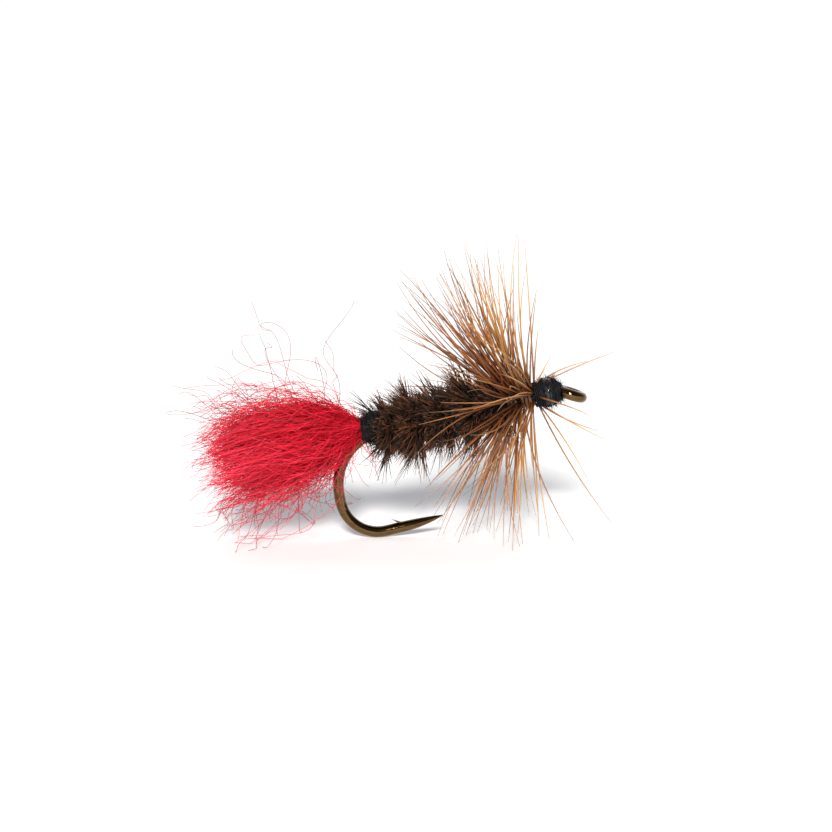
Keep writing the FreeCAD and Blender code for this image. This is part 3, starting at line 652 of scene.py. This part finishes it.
def fuzz_paths(dice, count, start, end, profile, centre, reach):
    """Short hairs of waxed thread that stand off a wound surface."""
    x = dice.uniform(start, end, count)
    turn = dice.uniform(0, 2 * math.pi, count)
    outward = np.stack([np.zeros(count), np.sin(turn), np.cos(turn)], -1)
    root = np.stack([x, np.zeros(count), centre(x)], -1) + outward * (profile(x)[:, None] - 0.06)
    heading = unit(outward + dice.normal(0, 0.8, (count, 3)))
    t = np.linspace(0, 1, 5)[None, :, None]
    curl = dice.normal(0, 0.5, (count, 1, 3)) * t**2
    return root[:, None] + (heading[:, None] * t + curl) * reach * dice.uniform(0.4, 1.1, (count, 1, 1))


def add_varnish(materials):
    """A bead of varnish that has run round the side of the head, lying over the thread's turns."""
    columns, rows = 28, 40
    u, v = np.meshgrid(np.linspace(0, 1, columns), np.arange(rows) / rows)
    x = VARNISH_BACK + (VARNISH_FRONT - VARNISH_BACK) * u
    turn = 2 * math.pi * v
    wander = 0.012 * np.sin(3 * turn + 5 * u) + 0.008 * np.sin(5 * turn - 9 * u)
    side = np.clip(0.5 - 0.75 * np.sin(turn - 0.25), 0, 1)
    edge = np.sin(math.pi * u) ** 0.5
    radius = head_profile(x) - 0.07 + (0.09 * side * edge) + wander * edge
    outer = np.stack([x, radius * np.sin(turn), radius * np.cos(turn)], -1)
    inner = outer * (1, 0.8, 0.8)
    places = np.concatenate([outer.reshape(-1, 3), inner.reshape(-1, 3)])
    faces = []
    for r in range(rows):
        after = (r + 1) % rows
        for c in range(columns - 1):
            quad = [r * columns + c, r * columns + c + 1, after * columns + c + 1, after * columns + c]
            faces.append(quad[::-1])
            faces.append([i + rows * columns for i in quad])
        for c, flip in ((0, 1), (columns - 1, -1)):
            rim = [r * columns + c, after * columns + c]
            faces.append((rim + [i + rows * columns for i in rim[::-1]])[::-flip])
    mesh = bpy.data.meshes.new("head_varnish")
    mesh.from_pydata(world(places).tolist(), [], faces)
    mesh.polygons.foreach_set("use_smooth", np.ones(len(mesh.polygons), bool))
    mesh.materials.append(materials["varnish"])
    piece = bpy.data.objects.new("head_varnish", mesh)
    bpy.context.scene.collection.objects.link(piece)
    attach(piece, "fly")
    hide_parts("head_cement")


# ---- CAD nodes that stay -------------------------------------------------------------------------


def dress_nodes(materials):
    plan = {
        "bronze": ("hook",),
        "wound_thread": (
            "thread_base", "herl_tie_off_wraps", "hackle_tie_wraps", "head_underwraps", "whip_finish",
        ),
        "wound_wool": ("tail_wool_butt",),
        "stem": ("brown_hackle_stem", "ginger_hackle_stem", "hackle_stem_butts"),
    }
    for material, nodes in plan.items():
        for node in nodes:
            for slot in frame["nodes"][node].material_slots:
                slot.material = materials[material]


# ---- studio --------------------------------------------------------------------------------------

LOOK_AT = Vector((1.19, 0.0, 6.85)) * MM
VIEW_WIDTH = 46.5 * MM  # what the frame takes in at the fly
AZIMUTH, ELEVATION = math.radians(-7), math.radians(9)
FOCAL, SENSOR = 100.0, 36.0
KEY_FROM = Vector((-0.16, -0.88, 0.46))
KEY_SPREAD, KEY_STRENGTH = math.radians(12), 5.6
TENT_STRENGTH = 0.76


def add_camera():
    data = bpy.data.cameras.new("camera")
    data.lens, data.sensor_width = FOCAL, SENSOR
    data.clip_start, data.clip_end = 0.002, 10
    camera = bpy.data.objects.new("camera", data)
    bpy.context.scene.collection.objects.link(camera)
    away = Vector((math.sin(AZIMUTH), -math.cos(AZIMUTH), math.tan(ELEVATION))) * math.cos(ELEVATION)
    camera.location = LOOK_AT + away * VIEW_WIDTH * FOCAL / SENSOR
    camera.rotation_euler = away.to_track_quat("Z", "Y").to_euler()
    bpy.context.scene.camera = camera


def add_floor():
    half = 1.5
    mesh = bpy.data.meshes.new("floor")
    corners = [(-half, -half, 0), (half, -half, 0), (half, half, 0), (-half, half, 0)]
    mesh.from_pydata(corners, [], [(0, 1, 2, 3)])
    material, _, _, surface = shader("pale_floor", 0.7)
    surface.inputs["Base Color"].default_value = (0.975, 0.97, 0.965, 1)
    mesh.materials.append(material)
    floor = bpy.data.objects.new("floor", mesh)
    bpy.context.scene.collection.objects.link(floor)


def add_sun():
    """A broad, low key light from the camera's side, which lays the soft shadow behind the fly."""
    data = bpy.data.lights.new("key", "SUN")
    data.angle, data.energy, data.color = KEY_SPREAD, KEY_STRENGTH, (1.0, 0.98, 0.955)
    light = bpy.data.objects.new("key", data)
    light.rotation_euler = KEY_FROM.to_track_quat("Z", "Y").to_euler()
    bpy.context.scene.collection.objects.link(light)


def add_world():
    """A soft tent: bright behind the fly and all along the horizon, dim overhead on the near side."""
    scene = bpy.context.scene
    scene.world = bpy.data.worlds.new("studio")
    scene.world.use_nodes = True
    nodes, links = scene.world.node_tree.nodes, scene.world.node_tree.links
    where = nodes.new("ShaderNodeTexCoord")
    split = nodes.new("ShaderNodeSeparateXYZ")
    depth = nodes.new("ShaderNodeMapRange")
    depth.inputs["From Min"].default_value, depth.inputs["From Max"].default_value = -0.1, 0.85
    links.new(where.outputs["Generated"], split.inputs["Vector"])
    links.new(split.outputs["Y"], depth.inputs["Value"])
    dim, soft, bright = (0.14, 0.145, 0.155), (0.62, 0.645, 0.69), (1.34, 1.37, 1.44)
    shade = ramp(nodes, ((0.0, dim), (0.4, soft), (0.8, bright)))
    links.new(depth.outputs["Result"], shade.inputs["Fac"])
    height = nodes.new("ShaderNodeMapRange")
    height.inputs["From Min"].default_value, height.inputs["From Max"].default_value = 0.02, 0.1
    links.new(split.outputs["Z"], height.inputs["Value"])
    tent = nodes.new("ShaderNodeMix")
    tent.data_type = "RGBA"
    tent.inputs["A"].default_value = (1.34, 1.37, 1.42, 1)
    links.new(height.outputs["Result"], tent.inputs["Factor"])
    links.new(shade.outputs["Color"], tent.inputs["B"])
    links.new(tent.outputs["Result"], nodes["Background"].inputs["Color"])
    nodes["Background"].inputs["Strength"].default_value = TENT_STRENGTH


def add_studio():
    add_floor()
    add_world()
    add_sun()
    bpy.context.scene.view_settings.view_transform = "Standard"


materials = make_materials()
add_camera()
add_tail(materials)
add_body(materials)
add_hackle(materials)
add_head(materials)
dress_nodes(materials)
add_studio()
